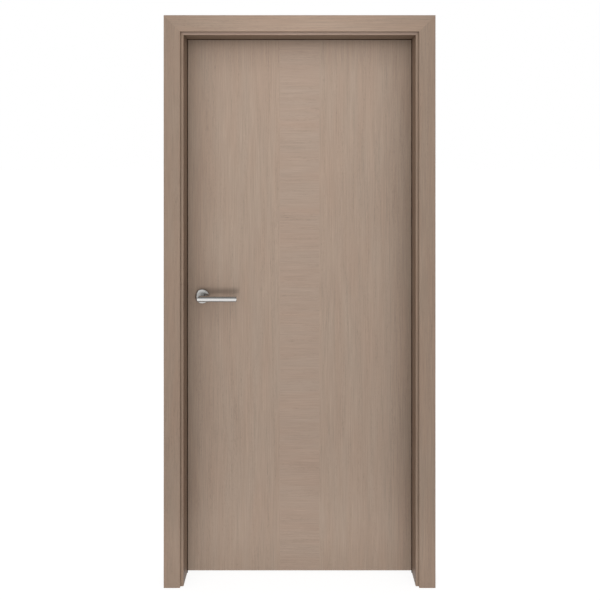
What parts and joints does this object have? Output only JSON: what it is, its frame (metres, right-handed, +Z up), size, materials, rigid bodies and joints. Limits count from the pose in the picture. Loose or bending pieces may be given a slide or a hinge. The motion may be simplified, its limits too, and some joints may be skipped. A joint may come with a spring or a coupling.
{
  "type": "interior door",
  "caption": "Flush oak-veneered interior door with a cross-grained centre band, in a rebated timber frame with flat mitred architraves, a round-bar lever on each face and butt hinges.",
  "frame": {"origin": "on the wall face of the hinge-side jamb, at the finished floor, half way through the wall", "axes": "+Z up, +X out of the hinge jamb into the wall, -Y towards the viewer of the picture, the side with the deep reveal; the leaf opens towards +Y"},
  "size_m": [1.022, 0.2, 2.111],
  "materials": {
    "frame_veneer": "satin grey-taupe oak veneer, grain upright",
    "head_veneer": "satin grey-taupe oak veneer, grain across",
    "leaf_veneer": "satin grey-taupe oak veneer, grain upright",
    "cross_veneer": "satin grey-taupe oak veneer, grain across",
    "leaf_timber": "planed softwood",
    "leaf_filling": "tubular chipboard",
    "seal_rubber": "matt dark brown",
    "hinge_steel": "satin stainless",
    "latch_steel": "satin nickel plated",
    "handle_steel": "satin stainless"
  },
  "bodies": {
    "frame": {"hinge_jamb": "frame_veneer", "latch_jamb": "frame_veneer", "head_jamb": "head_veneer", "hinge_stop": "frame_veneer", "latch_stop": "frame_veneer", "head_stop": "head_veneer", "front_architrave_hinge": "frame_veneer", "front_architrave_latch": "frame_veneer", "front_architrave_head": "head_veneer", "back_architrave_hinge": "frame_veneer", "back_architrave_latch": "frame_veneer", "back_architrave_head": "head_veneer", "seal_hinge": "seal_rubber", "seal_latch": "seal_rubber", "seal_head": "seal_rubber", "strike_plate": "latch_steel", "hinge_bottom_jamb_half": "hinge_steel", "hinge_bottom_pin": "hinge_steel", "hinge_middle_jamb_half": "hinge_steel", "hinge_middle_pin": "hinge_steel", "hinge_top_jamb_half": "hinge_steel", "hinge_top_pin": "hinge_steel"},
    "leaf": {"front_skin_latch": "leaf_veneer", "front_skin_hinge": "leaf_veneer", "back_skin_latch": "leaf_veneer", "back_skin_hinge": "leaf_veneer", "leaf_edge_latch": "leaf_veneer", "leaf_edge_hinge": "leaf_veneer", "front_skin_middle": "cross_veneer", "back_skin_middle": "cross_veneer", "leaf_stile_latch": "leaf_timber", "leaf_stile_hinge": "leaf_timber", "leaf_rail_top": "leaf_timber", "leaf_rail_bottom": "leaf_timber", "leaf_core": "leaf_filling", "hinge_bottom_leaf_half": "hinge_steel", "hinge_middle_leaf_half": "hinge_steel", "hinge_top_leaf_half": "hinge_steel", "latch_case": "latch_steel", "latch_bolt": "latch_steel", "rose_front": "handle_steel", "rose_back": "handle_steel"},
    "handle": {"lever_front": "handle_steel", "lever_back": "handle_steel", "spindle": "handle_steel"}
  },
  "joints": [
    {"name": "leaf_swing", "type": "hinge", "parent": "frame", "child": "leaf", "pos_m": [-0.0245, 0.07, 1.041], "axis": [0, 0, -1], "range_deg": [0, 165]},
    {"name": "lever_turn", "type": "hinge", "parent": "leaf", "child": "handle", "pos_m": [-0.832, 0.0425, 1.05], "axis": [0, 1, 0], "range_deg": [0, 40], "stiffness_Nm_per_rad": 1.5, "springref_deg": -57.3}
  ]
}
